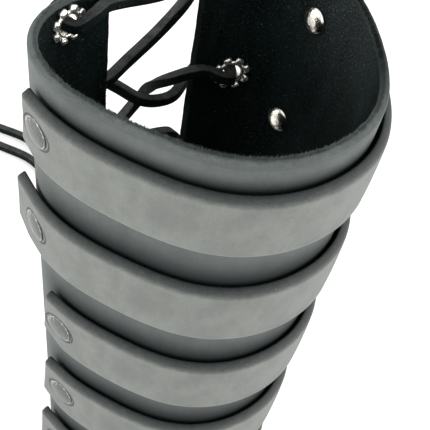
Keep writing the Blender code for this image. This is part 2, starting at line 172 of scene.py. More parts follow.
# --- node kit

def by_node(kind):
    """A method that joins a field to another value with one maths node."""
    return lambda self, other: self.maths(kind, other)


class Field:
    """A value in a node tree. Sums and products of fields add the nodes that work them out."""

    def __init__(self, tree, socket):
        self.tree = tree
        self.socket = socket

    def maths(self, kind, *others, clamp=False):
        node = self.tree.nodes.new("ShaderNodeMath")
        node.operation = kind
        node.use_clamp = clamp
        for slot, value in zip(node.inputs, (self, *others)):
            plug(slot, value)
        return Field(self.tree, node.outputs[0])

    __add__ = __radd__ = by_node("ADD")
    __sub__ = by_node("SUBTRACT")
    __mul__ = __rmul__ = by_node("MULTIPLY")
    __truediv__ = by_node("DIVIDE")
    __pow__ = by_node("POWER")

    def __neg__(self):
        return self * -1.0

    def __rsub__(self, other):
        return -self + other

    def __abs__(self):
        return self.maths("ABSOLUTE")

    def clamped(self):
        return self.maths("ADD", 0.0, clamp=True)


def plug(slot, value):
    """Joins a field to an input, or sets the input to a plain value."""
    if isinstance(value, Field):
        value.tree.links.new(value.socket, slot)
    else:
        slot.default_value = value


def add_node(tree, kind, inputs=None, **settings):
    node = tree.nodes.new(kind)
    for name, value in settings.items():
        setattr(node, name, value)
    for name, value in (inputs or {}).items():
        plug(node.inputs[name], value)
    return node


def result(tree, kind, inputs=None, output=0, **settings):
    """One output of a new node, as a field."""
    return Field(tree, add_node(tree, kind, inputs, **settings).outputs[output])


def shape(tree, kind, inputs=None, output=0, **settings):
    return result(tree, "GeometryNode" + kind, inputs, output, **settings)


def position(tree):
    return shape(tree, "InputPosition")


def split(vector):
    node = add_node(vector.tree, "ShaderNodeSeparateXYZ", {0: vector})
    return [Field(vector.tree, socket) for socket in node.outputs]


def joined(*parts):
    """One vector of three parts, at least one of them a field."""
    tree = next(part.tree for part in parts if isinstance(part, Field))
    return result(tree, "ShaderNodeCombineXYZ", dict(enumerate(parts)))


def vector_maths(kind, *values, output=0):
    return result(values[0].tree, "ShaderNodeVectorMath", dict(enumerate(values)), output, operation=kind)


def scaled(vector, factor):
    return result(vector.tree, "ShaderNodeVectorMath", {0: vector, "Scale": factor}, operation="SCALE")


def ramp(value, low, high, kind="SMOOTHSTEP"):
    """0 below low, 1 above high."""
    inputs = {"Value": value, "From Min": low, "From Max": high}
    return result(value.tree, "ShaderNodeMapRange", inputs, interpolation_type=kind)


def near(value, middle, inner, outer):
    """1 within the inner distance of the middle, 0 past the outer one."""
    return 1.0 - ramp(abs(value - middle), inner, outer)


def noise(place, scale, detail=2.0, roughness=0.5):
    """Even noise from 0 to 1; the scale counts its waves for each unit of the place."""
    inputs = {"Vector": place, "Scale": scale, "Detail": detail, "Roughness": roughness}
    return result(place.tree, "ShaderNodeTexNoise", inputs)


def random_share(tree, seed, low=0.0, high=1.0):
    return result(tree, "FunctionNodeRandomValue", {2: low, 3: high, 8: seed}, 1, data_type="FLOAT")


SOCKETS = {int: "Int", float: "Float", bpy.types.Material: "Material"}


def new_tree(name, sizes, **inputs):
    """A geometry tree with named inputs: the tree, its start geometry and a field for each input."""
    tree = bpy.data.node_groups.new(name, "GeometryNodeTree")
    for way in ("OUTPUT", "INPUT"):
        tree.interface.new_socket(name="Geometry", in_out=way, socket_type="NodeSocketGeometry")
    inputs = {**dict.fromkeys(sizes.split(), 1.0), **inputs}
    for label, value in inputs.items():
        socket = tree.interface.new_socket(name=label, in_out="INPUT", socket_type="NodeSocket" + SOCKETS[type(value)])
        socket.default_value = value
    start = tree.nodes.new("NodeGroupInput")
    fields = {label: Field(tree, start.outputs[label]) for label in inputs}
    return tree, Field(tree, start.outputs["Geometry"]), fields


def changed(geometry, kind, inputs=None, **settings):
    """A geometry once one node has worked on it."""
    return shape(geometry.tree, kind, {"Geometry": geometry, **(inputs or {})}, **settings)


def realized(geometry):
    return changed(geometry, "RealizeInstances")


def end_tree(geometry, smooth=True):
    if smooth:
        geometry = changed(geometry, "SetShadeSmooth")
    plug(geometry.tree.nodes.new("NodeGroupOutput").inputs["Geometry"], realized(geometry))
    return geometry.tree


def paint(geometry, material, where=True):
    return changed(geometry, "SetMaterial", {"Selection": where, "Material": material})


def store(geometry, name, value, kind="FLOAT_VECTOR"):
    return changed(geometry, "StoreNamedAttribute", {"Name": name, "Value": value}, data_type=kind, domain="POINT")


def named(tree, name, kind="FLOAT_VECTOR"):
    return shape(tree, "InputNamedAttribute", {"Name": name}, data_type=kind)


def moved(geometry, place):
    return changed(geometry, "SetPosition", {"Position": place})


def scattered(points, instance, **inputs):
    return shape(points.tree, "InstanceOnPoints", {"Points": points, "Instance": instance, **inputs})


def together(*geometries):
    join = add_node(geometries[0].tree, "GeometryNodeJoinGeometry")
    for geometry in geometries:
        plug(join.inputs["Geometry"], geometry)
    return Field(geometries[0].tree, join.outputs["Geometry"])


def add_object(name, data):
    thing = bpy.data.objects.new(name, data)
    bpy.context.scene.collection.objects.link(thing)
    return thing


def grown(tree, start=None, **inputs):
    """Runs a tree once and gives its result as a plain mesh."""
    thing = add_object("growing", start or bpy.data.meshes.new("growing"))
    growth = thing.modifiers.new("growth", "NODES")
    growth.node_group = tree
    for socket in tree.interface.items_tree:
        if socket.in_out == "INPUT" and socket.name in inputs:
            growth[socket.identifier] = inputs[socket.name]
    depsgraph = bpy.context.evaluated_depsgraph_get()
    mesh = bpy.data.meshes.new_from_object(thing.evaluated_get(depsgraph))
    bpy.data.objects.remove(thing, do_unlink=True)
    return mesh


def finished(name, mesh, slot, *nodes):
    """Names a piece, puts it under its body and hides the solids it stands for; the slot, its finish, is not used."""
    mesh.name = name
    piece = add_object(name, mesh)
    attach(piece, BODY)
    if nodes:
        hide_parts(*nodes)
    return piece


def poly_curve(points, closed=False):
    curve = bpy.data.curves.new("line", "CURVE")
    curve.dimensions = "3D"
    line = curve.splines.new("POLY")
    line.points.add(len(points) - 1)
    for target, point in zip(line.points, points):
        target.co = (*point, 1)
    line.use_cyclic_u = closed
    return curve


def placed(x_axis, y_axis, z_axis, point):
    matrix = Matrix((x_axis, y_axis, z_axis)).transposed().to_4x4()
    matrix.translation = point
    return matrix


# --- camera

def direction(azimuth, elevation):
    """The way out from the bracer at these angles, where azimuth 0 is its front."""
    level = cos(elevation)
    return Vector((sin(azimuth) * level, -cos(azimuth) * level, sin(elevation)))


def make_camera():
    azimuth, elevation, roll = (radians(angle) for angle in CAMERA_TURN)
    back = direction(azimuth, elevation)
    level = Vector((cos(azimuth), sin(azimuth), 0))
    upright = back.cross(level)
    right = level * cos(roll) + upright * sin(roll)
    up = upright * cos(roll) - level * sin(roll)
    lens = bpy.data.cameras.new("camera")
    lens.sensor_width = 36
    lens.lens = CAMERA_LENS
    lens.clip_start, lens.clip_end = 0.01, 20
    camera = add_object("camera", lens)
    camera.matrix_world = placed(right, up, back, CAMERA_PLACE)
    bpy.context.scene.camera = camera


# --- the sleeve's shape

def sleeve_scale(height):
    return WRIST_SHARE + (1 - WRIST_SHARE) * height / SLEEVE_LENGTH


def section_point(angle):
    """A point of the rim's outer outline, before the taper."""
    waves = sum(share * cos(count * angle) for count, share in SECTION_WAVES)
    dent = DENT_SHARE * exp(-((angle - DENT_ANGLE) / DENT_SPREAD) ** 2)
    radius = RIM_RADIUS * (1 + waves - dent)
    return Vector((radius * sin(angle), -radius * cos(angle), 0))


def section_run(angle):
    """Direction along the outline, as long as the metres it covers for each radian."""
    step = 0.001
    return (section_point(angle + step) - section_point(angle - step)) / (2 * step)


def sleeve_point(angle, height, stand_off=0.0):
    """A point that stands off the sleeve's outer face by so much."""
    tangent = section_run(angle).normalized()
    outward = Vector((tangent.y, -tangent.x, 0))
    point = section_point(angle) * sleeve_scale(height) + outward * stand_off
    point.z = height
    return point


def radius_at(height):
    """The rim's mean radius after the taper, as a field."""
    return (height * ((1 - WRIST_SHARE) / SLEEVE_LENGTH) + WRIST_SHARE) * RIM_RADIUS


def bent_round(angle, height, stand_off):
    """The same point as sleeve_point gives, as fields, and the outline's direction there."""
    off_centre = (angle - DENT_ANGLE) / DENT_SPREAD
    dent = (-(off_centre * off_centre)).maths("EXPONENT") * DENT_SHARE
    radius, change = 1.0 - dent, dent * off_centre * (2 / DENT_SPREAD)
    for waves, share in SECTION_WAVES:
        radius = (angle * float(waves)).maths("COSINE") * share + radius
        change = (angle * float(waves)).maths("SINE") * (-waves * share) + change
    sine, cosine = angle.maths("SINE"), angle.maths("COSINE")
    run_x = change * sine + radius * cosine
    run_y = radius * sine - change * cosine
    length = (run_x * run_x + run_y * run_y).maths("SQRT")
    run_x, run_y = run_x / length, run_y / length
    size = radius_at(height)
    x = size * radius * sine + run_y * stand_off
    y = -(size * radius * cosine) - run_x * stand_off
    return joined(x, y, height), (run_x, run_y)


def sleeve_frame(angle, height):
    """Matrix at a place on the sleeve: X along the section, Z outwards, Y up the wall."""
    turn, rise = radians(1), 1 * MM
    along = sleeve_point(angle + turn, height) - sleeve_point(angle - turn, height)
    up = sleeve_point(angle, height + rise) - sleeve_point(angle, height - rise)
    outward = along.cross(up).normalized()
    along = up.cross(outward).normalized()
    return placed(along, outward.cross(along), outward, sleeve_point(angle, height))


# --- flat leather

def side_steps(place, steps, size, radius):
    """Spreads a box's rows along one side, with close rows where its edges are rounded."""
    row = (place + 0.5) * steps
    edge = (row / ROUND_STEPS).clamped() + ((row - steps + ROUND_STEPS) / ROUND_STEPS).clamped()
    middle = ((row - ROUND_STEPS) / (steps - 2.0 * ROUND_STEPS)).clamped()
    return edge * radius + middle * (size - radius * 2.0)


def cut_leather(length, height, size):
    """A flat piece of leather with rounded edges: X along it, Y up, Z from its flesh side to its grain.

    Its upper edge slants down by the bevel, from the flesh side to the grain.
    """
    columns, rows, layers = size["columns"], size["rows"], 2 * ROUND_STEPS + 2
    thickness, radius, bevel = size["thickness"], size["edge_radius"], size["bevel"]
    counts = {"Vertices X": columns + 1.0, "Vertices Y": rows + 1.0, "Vertices Z": int(layers) + 1, "Size": (1, 1, 1)}
    x, y, z = split(position(length.tree))
    place = joined(
        side_steps(x, columns, length, radius),
        side_steps(y, rows, height, radius),
        side_steps(z, layers, thickness, radius),
    )
    low = joined(radius, radius, radius)
    high = joined(length - radius, height - radius, thickness - radius)
    core = vector_maths("MINIMUM", vector_maths("MAXIMUM", place, low), high)
    spoke = vector_maths("NORMALIZE", vector_maths("SUBTRACT", place, core))
    along, up, depth = split(vector_maths("ADD", core, scaled(spoke, radius)))
    up = up - bevel * (depth / thickness) * ramp(up, height - bevel * 3.0, height)
    return moved(shape(length.tree, "MeshCube", counts), joined(along, up, depth))


def uneven_cut(leather, length, height):
    """Lets the edges of hand-cut leather wander a little."""
    place = position(leather.tree)
    x, y, z = split(place)
    reach = 2.5 * MM
    ends = 1.0 - ramp(x, 0.0, reach) + ramp(x, length - reach, length)
    top = ramp(y, height - reach, height)
    small = noise(place, 560.0, 3.0, 0.75) - 0.5
    slow = noise(place, 45.0, 1.0) - 0.5
    shift = (small * 0.9 + slow * 1.3) * UNEVEN_CUT
    return moved(leather, joined(x + shift * ends, y + shift * top, z + small * top * UNEVEN_CUT * 0.5))


def punched(leather, points):
    """Cuts a round hole at each point, as wide and as tall as the point's own attributes say."""
    tree = leather.tree
    punch = shape(tree, "MeshCylinder", {"Vertices": 40, "Radius": 1.0, "Depth": 0.02})
    size = joined(named(tree, "wide", "FLOAT"), named(tree, "tall", "FLOAT"), 1.0)
    cut = {"Mesh 1": leather, "Mesh 2": scattered(points, punch, Scale=size)}
    return shape(tree, "MeshBoolean", cut, operation="DIFFERENCE", solver="EXACT")


def punch_marks(spots):
    """Points for the punches: rows of (x, y, half width, half height)."""
    mesh = bpy.data.meshes.new("punch marks")
    mesh.from_pydata([(spot[0], spot[1], 0) for spot in spots], [], [])
    for label, column in (("wide", 2), ("tall", 3)):
        values = mesh.attributes.new(label, "FLOAT", "POINT")
        for item, spot in zip(values.data, spots):
            item.value = spot[column]
    return mesh


def painted_leather(leather, size):
    """Grain on the outer face, flesh on the inner one, and the cut edge between them."""
    depth = split(named(leather.tree, "cut"))[2]
    leather = paint(leather, size["edge"])
    leather = paint(leather, size["grain"], depth.maths("GREATER_THAN", size["thickness"] - 0.32 * MM))
    return paint(leather, size["flesh"], depth.maths("LESS_THAN", 0.3 * MM))


# --- sleeve

def bent_to_sleeve(geometry, size):
    """Bends flat leather, or what lies on it, round the arm."""
    along, up, depth = split(position(geometry.tree))
    across = along / size["length"] * 2.0 - 1.0
    angle = across * size["reach"] - across * across * SLIT_TURN
    return moved(geometry, bent_round(angle, up, depth - size["thickness"])[0])


def sleeve_tree(materials):
    tree, marks, size = new_tree(
        "bent sleeve", "length height thickness edge_radius bevel columns rows reach",
        grain=materials["sleeve grain"], flesh=materials["black suede"], edge=materials["cut sleeve edge"],
    )
    length, height = size["length"], size["height"]
    leather = punched(cut_leather(length, height, size), marks)
    leather = store(leather, "cut", position(tree))
    leather = bent_to_sleeve(uneven_cut(leather, length, height), size)
    return end_tree(painted_leather(leather, size))


def sleeve_mark(angle, height, radius):
    """A round hole's place on the flat leather, widened so that it is round once the leather is bent."""
    across = (REACH - sqrt(REACH ** 2 - 4 * SLIT_TURN * angle)) / (2 * SLIT_TURN)
    turn = 1 - 2 * SLIT_TURN * across / REACH
    stretch = section_run(angle).length * sleeve_scale(height) / RIM_RADIUS * turn
    return REACH * RIM_RADIUS * (1 + across), height, radius / stretch, radius


def make_sleeve(materials):
    spots = []
    for side in SIDES.values():
        for row in range(1, EYELET_ROWS + 1):
            height, angle, _ = eyelet_spot(row)
            spots.append(sleeve_mark(side * angle - SLIT_TURN, height, EYELET_HOLE_RADIUS + BARREL_WALL + GAP))
        for band in BANDS.values():
            angle, height = side * band["rivet_angle"], SLEEVE_LENGTH - band["rivet_depth"]
            spots.append(sleeve_mark(angle, height, POST_RADIUS + 2 * GAP))
    mesh = grown(
        sleeve_tree(materials), punch_marks(spots), length=FLAT_LENGTH, height=SLEEVE_LENGTH, thickness=LEATHER,
        edge_radius=0.6 * MM, bevel=1.2 * MM, columns=200.0, rows=150.0, reach=REACH,
    )
    finished("bracer_sleeve", mesh, "sleeve_leather", "sleeve")


# --- loose fibres

def fibre_tree(materials):
    """Short hairs along the rim's flesh edge and both edges of the slit, in the flat, then bent like the sleeve."""
    tree, _, size = new_tree(
        "loose fibres", "length height thickness reach hair hair_radius", rim_count=10, slit_count=10,
        rim_fibre=materials["cut sleeve edge"], slit_fibre=materials["black suede"],
    )
    length, height = size["length"], size["height"]
    hair = shape(tree, "MeshCone", {"Vertices": 3, "Side Segments": 2, "Radius Top": 0.0,
                                    "Radius Bottom": size["hair_radius"], "Depth": size["hair"]})
    sets = []
    for seed, edge, shortest in ((10, "rim", 0.8), (20, "slit", 0.2)):
        points = shape(tree, "MeshLine", {"Count": size[edge + "_count"]})
        first, second, third, fourth = (random_share(tree, seed + index) for index in range(4))
        if edge == "rim":
            place = joined(first * length, height - 0.25 * MM, (second * second) * 1.1 * MM)
            lean = joined(third * 1.5 - 1.8, 0.0, fourth * 1.6 - 0.8)
        else:
            at_end = second.maths("GREATER_THAN", 0.5)
            place = joined(at_end * (length - 0.7 * MM) + 0.35 * MM, first * height, third * size["thickness"])
            lean = joined(fourth * 1.4 - 0.7, (at_end - 0.5) * pi, third * 0.8 - 0.4)
        facing = result(tree, "FunctionNodeEulerToRotation", {"Euler": lean})
        stretch = joined(1.0, 1.0, random_share(tree, seed + 5) * 0.9 + shortest)
        hairs = scattered(moved(points, place), hair, Rotation=facing, Scale=stretch)
        sets.append(paint(realized(hairs), size[edge + "_fibre"]))
    middle = joined(split(position(tree))[0], height, 1.6 * MM)
    fibres = store(together(*sets), "cut", middle)
    return end_tree(bent_to_sleeve(fibres, size), smooth=False)


def make_fibres(materials):
    mesh = grown(
        fibre_tree(materials), length=FLAT_LENGTH, height=SLEEVE_LENGTH, thickness=LEATHER, reach=REACH,
        hair=0.9 * MM, hair_radius=0.1 * MM, rim_count=9000, slit_count=2400,
    )
    finished("bracer_cut_fibres", mesh, "sleeve_leather")


# --- bands

def band_bottom(band):
    return SLEEVE_LENGTH - band["lower_edge"]


def band_reach(band):
    """The length along the sleeve from a band's middle to its rivet."""
    return band["rivet_angle"] * RIM_RADIUS * sleeve_scale(band_bottom(band))


def rivet_up(band):
    """How far up the flat band its rivets sit."""
    reach = band_reach(band)
    rise = BAND_RISE * (reach / (reach + band["tail"])) ** 4
    return band["lower_edge"] - band["rivet_depth"] - rise


def band_stand_off(share, pinned):
    """How far a band's inner face stands off the sleeve."""
    free = 1.0 - pinned
    lifted = (share ** (pinned + 1.0)) * BAND_LIFT + (1.0 - share) * free * BAND_FLARE
    return lifted + share * (1.0 - share) * free * (4 * BAND_BULGE) + GAP


def band_tree(materials):
    tree, marks, size = new_tree(
        "bent band", "reach tail rivet_up bottom thickness edge_radius bevel columns rows",
        grain=materials["band grain"], flesh=materials["band flesh side"], edge=materials["burnished band edge with painted shade"],
    )
    reach, bottom = size["reach"], size["bottom"]
    half = reach + size["tail"]
    along, up, depth = split(position(tree))
    across = along - half
    corner = (1.0 - (half - abs(across)) / CORNER_ALONG).clamped() * CORNER_UP
    up = up * (1.0 - corner / BAND_HEIGHT) + corner
    leather = moved(cut_leather(half * 2.0, BAND_HEIGHT, size), joined(across, up, depth))
    leather = punched(leather, marks)
    place = position(tree)
    across, up, depth = split(place)
    length, side = abs(across), across.maths("SIGN")
    from_cap = joined((length - reach) * CAP_STRETCH, up - size["rivet_up"], 0.0)
    from_cap = vector_maths("LENGTH", from_cap, output=1)
    leather = store(leather, "cut", place)
    leather = store(leather, "from_cap", from_cap, "FLOAT")
    leather = store(leather, "from_end", half - length, "FLOAT")
    lift = band_stand_off((up / BAND_HEIGHT).clamped(), (length / reach).clamped() ** 4.0)
    pressed = (1.0 - ramp(from_cap, *CAP_REACH)) * CAP_SINK * (depth / size["thickness"])
    angle = side * length.maths("MINIMUM", reach) / radius_at(bottom)
    wander = (noise(place, 60.0, 1.0) - 0.5) * (0.5 * MM) + ((length / half) ** 4.0) * BAND_RISE
    bent, (run_x, run_y) = bent_round(angle, bottom + up + wander, lift + depth - pressed)
    splay = (1.0 - up / BAND_HEIGHT) * END_SPLAY / size["tail"] + 1.0
    beyond = (length - reach).maths("MAXIMUM", 0.0) * side * splay
    leather = moved(leather, vector_maths("ADD", bent, joined(run_x * beyond, run_y * beyond, 0.0)))
    return end_tree(painted_leather(leather, size))


def make_bands(materials):
    tree = band_tree(materials)
    hole = POST_RADIUS + GAP
    for number, band in BANDS.items():
        reach, up = band_reach(band), rivet_up(band)
        marks = punch_marks([(side * reach, up, hole, hole) for side in SIDES.values()])
        mesh = grown(
            tree, marks, reach=reach, tail=band["tail"], rivet_up=up, bottom=band_bottom(band), thickness=LEATHER,
            edge_radius=0.8 * MM, bevel=BAND_BEVEL, columns=170.0, rows=26.0,
        )
        finished(f"bracer_band_{number}", mesh, "band_leather", f"band_{number}")


# --- turned metal

def turned_tree(*paints):
    """Turns a profile curve, X out from the axis and Z up, into a closed solid.

    The profile runs up the outer side. Each paint is a material and the height that it reaches up to.
    """
    tree, profile, size = new_tree("turned metal", "fillet", sides=10, steps=10)
    line = {"Curve": profile, "Count": 3, "Radius": size["fillet"], "Limit Radius": True}
    line = shape(tree, "FilletCurve", line, mode="POLY")
    grid = {"Size X": 1.0, "Size Y": 1.0, "Vertices X": size["sides"], "Vertices Y": size["steps"]}
    around, along, _ = split(position(tree))
    sample = {"Curves": line, "Factor": along + 0.5}
    out, _, up = split(shape(tree, "SampleCurve", sample, "Position", mode="FACTOR"))
    turn = around * (2 * pi)
    place = joined(out * turn.maths("COSINE"), out * turn.maths("SINE"), up)
    solid = moved(shape(tree, "MeshGrid", grid), place)
    solid = changed(solid, "MergeByDistance", {"Distance": 0.003 * MM})
    for material, reach in paints:
        solid = paint(solid, material, split(position(tree))[2].maths("LESS_THAN", reach))
    return end_tree(store(solid, "turned", position(tree)))


def profile_curve(points, closed=False):
    """A profile in mm: out from the axis, and up it."""
    return poly_curve([(out * MM, 0, up * MM) for out, up in points], closed)


def rivet_place(number, side):
    """Where a rivet's axis crosses the band's outer face, and how much leather it grips."""
    band = BANDS[number]
    angle = side * band["rivet_angle"]
    height = SLEEVE_LENGTH - band["rivet_depth"]
    at_end = band_reach(band) / (RIM_RADIUS * sleeve_scale(band_bottom(band)))
    lift = band_stand_off(rivet_up(band) / BAND_HEIGHT, 1.0)
    place = sleeve_frame(angle, height)
    place.translation = sleeve_point(side * at_end, height, lift + LEATHER)
    grip = (place.translation - sleeve_point(angle, height, -LEATHER)).length
    return place @ Matrix.Rotation(RIVET_LEAN, 4, "X"), grip


def rivet_profile(grip):
    """The double-cap rivet from the middle of its inner cap to the middle of its outer one, in mm."""
    inner = -grip / MM
    return [
        (0, inner - 2.35), (1.9, inner - 2.28), (3.3, inner - 1.98), (4.2, inner - 1.5), (4.75, inner - 0.9),
        (4.6, inner - 0.4), (1.6, inner - 0.35), (1.6, -0.6), (4.9, -0.62), (5.35, -0.4), (5.45, -0.2),
        (5.36, 0.04), (5.1, 0.18), (4.85, 0.16), (4.5, 0.3), (3.4, 0.68), (1.8, 0.96), (0, 1.06),
    ]


def make_rivets(materials):
    tree = turned_tree((materials["lacquered rivet cap"], 1.0), (materials["rivet nickel"], -3.5 * MM))
    for word, side in SIDES.items():
        for number in BANDS:
            place, grip = rivet_place(number, side)
            mesh = grown(tree, profile_curve(rivet_profile(grip)), fillet=0.25 * MM, sides=49, steps=72)
            mesh.transform(place)
            finished(f"bracer_rivet_{word}_{number}", mesh, "rivet_metal", f"rivet_{word}_{number}")


def eyelet_spot(row):
    """An eyelet's height, its angle from the front, and the sleeve's radius there."""
    height = SLEEVE_LENGTH - EYELET_FIRST_DEPTH - EYELET_PITCH * (row - 1)
    radius = section_point(REACH).length * sleeve_scale(height)
    return height, REACH - EYELET_FROM_SLIT / radius, radius


def eyelet_profile():
    """Flange, barrel and the lip rolled over inside, in mm; closed, up its outer side."""
    inside = -LEATHER / MM
    return [
        (3.85, inside - 0.3), (4.9, inside - 0.3), (5.05, inside - 0.6), (4.5, inside - 1.2), (3.75, inside - 1.25),
        (3.3, inside - 0.7), (3.3, 0.5), (3.6, 1.15), (4.4, 1.35), (5.4, 1.0), (6.0, 0.45), (5.9, 0.15), (3.85, 0.2),
    ][::-1]


def tooth_of(length, width, thickness):
    """A rounded block, as the punched and rolled metal leaves it."""
    counts = {"Vertices X": 5, "Vertices Y": 5, "Vertices Z": 4, "Size": (2, 2, 2)}
    axes = split(position(length.tree))
    powers = [(axis * axis) ** 1.5 for axis in axes]
    reach = (powers[0] + powers[1] + powers[2]) ** (1 / 3)
    x, y, z = (axis / reach for axis in axes)
    place = joined(x * length / 2.0, y * width / 2.0, z * thickness / 2.0)
    return moved(shape(length.tree, "MeshCube", counts), place)


def eyelet_tree(material):
    """The turned eyelet with its ring of teeth, bent to the wall that it sits in."""
    tree, ring, size = new_tree("eyelet", "tooth_length tooth_width tooth_thick tooth_out tooth_down wall_radius")
    tooth = tooth_of(size["tooth_length"], size["tooth_width"], size["tooth_thick"])
    turn = shape(tree, "InputIndex") * (2 * pi / TEETH) + pi / TEETH
    out = size["tooth_out"]
    place = joined(turn.maths("COSINE") * out, turn.maths("SINE") * out, -size["tooth_down"])
    circle = moved(shape(tree, "MeshCircle", {"Vertices": TEETH, "Radius": 1.0}), place)
    facing = result(tree, "FunctionNodeEulerToRotation", {"Euler": joined(0.0, TEETH_TILT, turn)})
    each = random_share(tree, 3, 0.88, 1.12)
    teeth = realized(scattered(circle, tooth, Rotation=facing, Scale=joined(each, each, 1.0)))
    x, y, z = split(position(tree))
    whole = store(together(teeth, ring), "turned", joined(x, y, z))
    whole = moved(whole, joined(x, y, z - x * x / (size["wall_radius"] * 2.0)))
    return end_tree(paint(whole, material))


def make_eyelets(materials):
    ring = grown(turned_tree(), profile_curve(eyelet_profile(), closed=True), fillet=0.15 * MM, sides=49, steps=56)
    tree = eyelet_tree(materials["eyelet nickel"])
    for row in range(1, EYELET_ROWS + 1):
        height, angle, radius = eyelet_spot(row)
        eyelet = grown(
            tree, ring, tooth_length=2.3 * MM, tooth_width=2.9 * MM, tooth_thick=1.9 * MM, tooth_out=5.5 * MM,
            tooth_down=LEATHER + 0.9 * MM, wall_radius=radius,
        )
        for word, side in SIDES.items():
            mesh = eyelet.copy()
            mesh.transform(sleeve_frame(side * angle - SLIT_TURN, height))
            finished(f"bracer_eyelet_{word}_{row}", mesh, "eyelet_metal", f"eyelet_{word}_{row}")


# --- laces

def strand_points(row, side_name):
    """The lace's points through one eyelet, from the outer face to the inner one."""
    side = SIDES[side_name]
    outside_rise, inside_rise = RISES.get((side_name, row), USUAL_RISE)
    height, angle, radius = eyelet_spot(row)
    inner = -LEATHER
    offsets = [
        (EYELET_FROM_SLIT + 2.2 * MM, 2.9 * MM),
        (EYELET_FROM_SLIT - 2.5 * MM, 3.9 * MM),
        (LACE_BEND + 1.0 * MM, 1.1 * MM + LACE_BEND),
        (0.24 * LACE_BEND, 0.9 * MM + 0.71 * LACE_BEND),
        (0.0, 0.0),
        (0.0, inner),
        (0.24 * LACE_BEND, inner - 1.1 * MM - 0.71 * LACE_BEND),
        (LACE_BEND + 1.0 * MM, inner - 1.6 * MM - LACE_BEND),
        (EYELET_FROM_SLIT - 2.5 * MM, inner - 3.4 * MM),
        (EYELET_FROM_SLIT + 2.2 * MM, inner - 2.2 * MM),
    ]
    points = []
    for index, (along, off) in enumerate(offsets):
        rise = outside_rise if index < len(offsets) / 2 else inside_rise
        climb = rise * max(0.0, along - LACE_BEND)
        climb += ARCHES.get((side_name, row), 0) * ARCH_SHARES.get(index, 0)
        points.append(sleeve_point(side * (angle + along / radius) - SLIT_TURN, height + climb, off))
    return points


def strand(side):
    """Lace from the outside of one top eyelet, zigzag down to the slit at the wrist end."""
    depth = CROSSING_OFFSET if side == "left" else -CROSSING_OFFSET
    points = strand_points(1, side)[:0:-1]
    for row in range(2, EYELET_ROWS + 1):
        other = "right" if side == "left" else "left"
        run = SLACK_RUNS.get(f"{side}_{row - 1}_to_{other}_{row}")
        arriving = strand_points(row, other)
        if run:
            points += in_metres(run)
        else:
            middle = (points[-1] + arriving[0]) / 2
            points.append(middle + Vector((0, depth, -CROSSING_SAG)))
        points += arriving
        side = other
    first, second = in_metres(LACE_END_ROUTES[f"lace_end_{side}"][:2])
    heading = (second - first).normalized()
    points += [first - heading * LACE_WIDTH, first - heading * GAP]
    return points


def curve_between(points, knots, t):
    """Barry and Goldman's pyramid for one span of a centripetal curve."""
    level = list(points)
    for width in (1, 2, 3):
        following = []
        for index in range(len(level) - 1):
            low = knots[index] if width < 3 else knots[1]
            high = knots[index + width] if width < 3 else knots[2]
            blend = (t - low) / (high - low)
            following.append(level[index].lerp(level[index + 1], blend))
        level = following
    return level[0]


def smooth_route(points, step):
    """Points about one step apart on a smooth curve through the given ones."""
    ends = [2 * points[0] - points[1]] + points + [2 * points[-1] - points[-2]]
    route = [points[0]]
    for before, start, stop, after in zip(ends, ends[1:], ends[2:], ends[3:]):
        pieces = max(1, round((stop - start).length / step))
        knots = [0.0]
        for first, second in ((before, start), (start, stop), (stop, after)):
            knots.append(knots[-1] + sqrt((second - first).length))
        for index in range(1, pieces + 1):
            t = knots[1] + (knots[2] - knots[1]) * index / pieces
            route.append(curve_between((before, start, stop, after), knots, t))
    return route
def lace_tree(materials):
    """A thong with a rounded square section, grain on one side and suede on the others."""
    tree, route, size = new_tree("lace", "width corner", leather=materials["lace leather"])
    square = shape(tree, "CurvePrimitiveQuadrilateral", {"Width": size["width"], "Height": size["width"]})
    square = shape(tree, "FilletCurve", {"Curve": square, "Count": 3, "Radius": size["corner"]}, mode="POLY")
    square = store(square, "section", scaled(position(tree), 1 / LACE_WIDTH))
    line = store(route, "along", shape(tree, "SplineParameter", output="Length"), "FLOAT")
    line = shape(tree, "SetCurveNormal", {"Curve": line}, mode="Z_UP")
    mesh = shape(tree, "CurveToMesh", {"Curve": line, "Profile Curve": square, "Fill Caps": True})
    return end_tree(paint(mesh, size["leather"]))


def in_metres(points):
    return [Vector(point) * MM for point in points]


def route_length(points):
    return sum((second - first).length for first, second in zip(points, points[1:]))


def make_lace_ends(tree):
    for name, route in LACE_END_ROUTES.items():
        points = smooth_route(in_metres(route), 2.5 * MM)
        mesh = grown(tree, poly_curve(points), width=LACE_END_WIDTH, corner=0.4 * MM)
        thong = finished(f"bracer_{name}", mesh, "lace_leather", name)
        route_length(points)


def make_lace(tree):
    points = smooth_route(strand("left")[::-1] + in_metres([BAR_MIDDLE]) + strand("right"), 1.6 * MM)
    mesh = grown(tree, poly_curve(points), width=LACE_WIDTH, corner=0.45 * MM)
    finished("bracer_lace", mesh, "lace_leather", "lace")


# --- materials, whose places are measured in mm

def new_material(name, recipe, *values):
    """A material whose recipe joins its nodes to the shader."""
    material = bpy.data.materials.new(name)
    material.use_nodes = True
    tree = material.node_tree
    recipe(tree, tree.nodes["Principled BSDF"], *values)
    return material


def attribute(tree, name, output="Vector"):
    return result(tree, "ShaderNodeAttribute", output=output, attribute_name=name)


def in_mm(tree, name):
    """A stored place, in millimetres."""
    return scaled(attribute(tree, name), 1000.0)


def stored(tree, name):
    """A stored number, in millimetres."""
    return attribute(tree, name, "Fac") * 1000.0


def cells(place, scale, output=0, feature="F1"):
    inputs = {"Vector": place, "Scale": scale}
    return result(place.tree, "ShaderNodeTexVoronoi", inputs, output, feature=feature)


def stretched(place, x, y, z):
    return vector_maths("MULTIPLY", place, (x, y, z))


